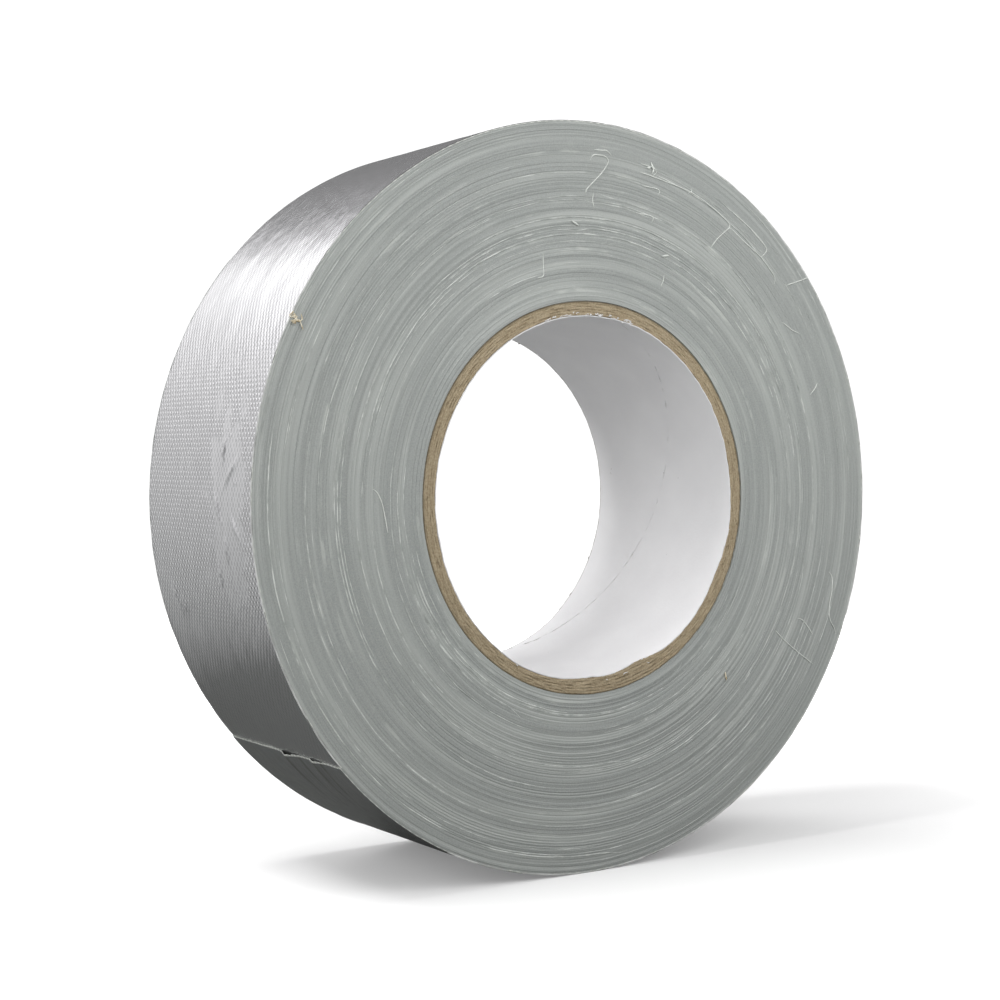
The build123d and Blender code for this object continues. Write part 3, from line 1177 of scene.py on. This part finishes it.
def curls(places, seed, count, step, thickness, side, height):
    """Small tangles: a few short crooked hairs at each place (angle, radius in mm)."""
    rng = np.random.default_rng(seed)
    hairs = []
    for angle, radius in places:
        for _ in range(count):
            points = [(angle, radius)]
            for _ in range(3):
                turn = rng.uniform(-1.0, 1.0, 2) * step
                points.append((points[-1][0] + math.degrees(turn[0] / radius), points[-1][1] + turn[1]))
            path = smooth_path(side_path(points, side, height), 0.3 * MM)
            path[:, 1] += side * np.linspace(0.0, rng.uniform(0.0, 0.5) * MM, len(path))
            hairs.append(thread_mesh(path, thickness * rng.uniform(0.7, 1.3), 5, 0.8, side))
    return hairs


def make_flecks(made):
    """Torn cotton specks on the front side, fluff at the rim and brown dust from the core."""
    specks = join_threads("cotton_specks", [chip(*fleck, -1.0) for fleck in FRONT_FLECKS], made["yarn"])
    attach(specks, ROLL_BODY)
    fluff = curls([(153.0, 77.9), (153.6, 77.2)], 95, 7, 0.8, 0.10 * MM, -1.0, 0.20 * MM)
    dust = [chip(312.8, 54.3, 1.9, 100.0, -1.0), chip(153.4, 77.3, 1.3, 60.0, -1.0)]
    crumbs = join_threads("paper_dust", dust + fluff, made["dust"])
    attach(crumbs, ROLL_BODY)


# Where the lining has torn at its ends: side, first and last angle, number of shreds.
TORN_SPANS = [(-1.0, 74.0, 108.0, 34), (-1.0, 200.0, 400.0, 6), (1.0, 0.0, 360.0, 30)]


def make_torn_paper(made):
    """White shreds of the lining that lie along the cut ends of the core."""
    rng = np.random.default_rng(97)
    shreds = []
    for side, start, end, count in TORN_SPANS:
        for angle in rng.uniform(start, end, count):
            radius = rng.uniform(37.95, 38.75)
            points = [(angle, radius)]
            for _ in range(2):
                angle = angle + rng.uniform(-1.4, 1.4)
                points.append((angle, radius + rng.uniform(-0.25, 0.45)))
            path = smooth_path(side_path(points, side, 0.02 * MM), 0.3 * MM)
            shreds.append(thread_mesh(path, rng.uniform(0.06, 0.15) * MM, 5, 0.6, side))
    piece = join_threads("torn_lining", shreds, made["paper"])
    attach(piece, ROLL_BODY)


# Runs of the outer turn, as pairs of angles, whose cut edge has stretched pale.
FRAYED_RUNS = [(ROOT_ANGLE + PANEL_ANGLE / 2, 448.0), (499.0, LAST_ANGLE)]
FRAY_RADIUS = 0.16 * MM


def make_edge_fray(made):
    """Pale cut edge of the outer turn along both sides of the rim."""
    strands = []
    for side, seed in ((-1.0, 41), (1.0, 42)):
        for start, end in FRAYED_RUNS:
            angle = np.arange(start, end, 0.8)
            sway = 0.03 * MM * ring_noise(angle, seed, (37, 61, 89))
            path = place_polar(film_radius(angle) - 0.07 * MM + sway, angle, side * HALF_WIDTH)
            strands.append(thread_mesh(path, FRAY_RADIUS, 6, 0.3, side))
    piece = join_threads("edge_fray", strands, made["fray"])
    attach(piece, ROLL_BODY)


# ---------------------------------------------------------------- the stage

def stage_object(name, material, hidden_from):
    """The object that Blender has just added: its name, its material and the rays that miss it."""
    made = bpy.context.object
    made.name = name
    made.data.materials.append(material)
    for ray in hidden_from:
        setattr(made, f"visible_{ray}", False)
    return made


def disc(sides, radius, height):
    bpy.ops.mesh.primitive_circle_add(
        vertices=sides, radius=radius, fill_type="NGON", location=(0, 0, height)
    )


def make_stage():
    """A white floor that only the camera sees, a grey card under it that only the roll sees,
    and a white dome behind them for the camera."""
    disc(96, FLOOR_RADIUS, FLOOR_Z)
    floor = stage_object("floor", floor_material(), ["diffuse", "glossy"])
    disc(64, CARD_RADIUS, FLOOR_Z - CARD_DROP)
    under = stage_object("under_card", card_material(), ["camera", "shadow"])
    bpy.ops.mesh.primitive_uv_sphere_add(segments=32, ring_count=16, radius=DOME_RADIUS)
    rays = ["diffuse", "glossy", "transmission", "shadow"]
    dome = stage_object("backdrop", backdrop_material(), rays)


def room_light(shader, x, z, side):
    """Dim room light, different above and below, stronger to the left and weak where the box is."""
    low = shader.ramp(z, -0.45, 0.35, ROOM_LOW, 0.0)
    low = shader.times(low, shader.ramp(x, -0.45, 0.35, 1.6, 0.75))
    high = shader.ramp(z, -0.45, 0.35, 0.0, ROOM_HIGH)
    high = shader.times(high, shader.ramp(x, -0.05, 0.4, 1.0, 0.58))
    return shader.times(shader.plus(low, high), shader.ramp(side, 0.0, 1.0, 1.0, 0.40))


def box_light(shader, x, z, side):
    """The soft box: it brightens as it climbs and towards its left flank."""
    lower = shader.ramp(z, -0.36, 0.25, 0.2, 1.0, "LINEAR")
    climb = shader.ramp(z, 0.29, 0.58, 0.0, 1.0, "LINEAR")
    upper = shader.times(shader.times(climb, climb), BOX_HIGH)
    height = shader.math("MULTIPLY_ADD", lower, BOX_LOW, upper)
    window = shader.times(side, shader.ramp(z, -0.37, -0.30))
    flank = shader.ramp(x, -0.90, -0.62, 1.6, 1.0)
    return shader.times(shader.times(window, height), flank)


def make_world():
    """Light from all round by direction: the room, with a large soft box behind to the left."""
    world = bpy.data.worlds.new("room")
    bpy.context.scene.world = world
    world.use_nodes = True
    shader = NodeTree(world.node_tree)
    x, y, z = shader.separate(shader.node("ShaderNodeTexCoord").outputs["Generated"])
    side = shader.times(shader.ramp(x, -0.04, 0.03, 1.0, 0.0), shader.ramp(y, 0.40, 0.70))
    room = room_light(shader, x, z, side)
    box = box_light(shader, x, z, side)
    background = shader.node("ShaderNodeBackground")
    shader.link(shader.plus(room, box), background.inputs["Strength"])
    tint = shader.mix(shader.ramp(z, -0.4, 0.3), (0.985, 1.0, 0.985), (1.0, 0.992, 0.997))
    shader.link(tint, background.inputs["Color"])
    shader.link(background.outputs[0], shader.node("ShaderNodeOutputWorld").inputs[0])


def main():
    bpy.context.scene.view_settings.view_transform = "Standard"
    make_camera()
    make_world()
    make_lights()
    make_stage()
    made = {
        "film": film_material(),
        "edge": edge_material(),
        "yarn": yarn_material(),
        "kraft": kraft_material(),
        "paper": paper_material(),
        "adhesive": adhesive_material(),
        "scrim": scrim_material(),
        "fibre": fibre_material(),
        "fray": fray_material(),
        "dust": dust_material(),
    }
    make_liner(made)
    make_core(made)
    make_winding(made)
    make_outer_wrap(made)
    make_tail(made)
    make_side_yarns(made)
    make_flecks(made)
    make_torn_paper(made)
    make_edge_fray(made)


main()
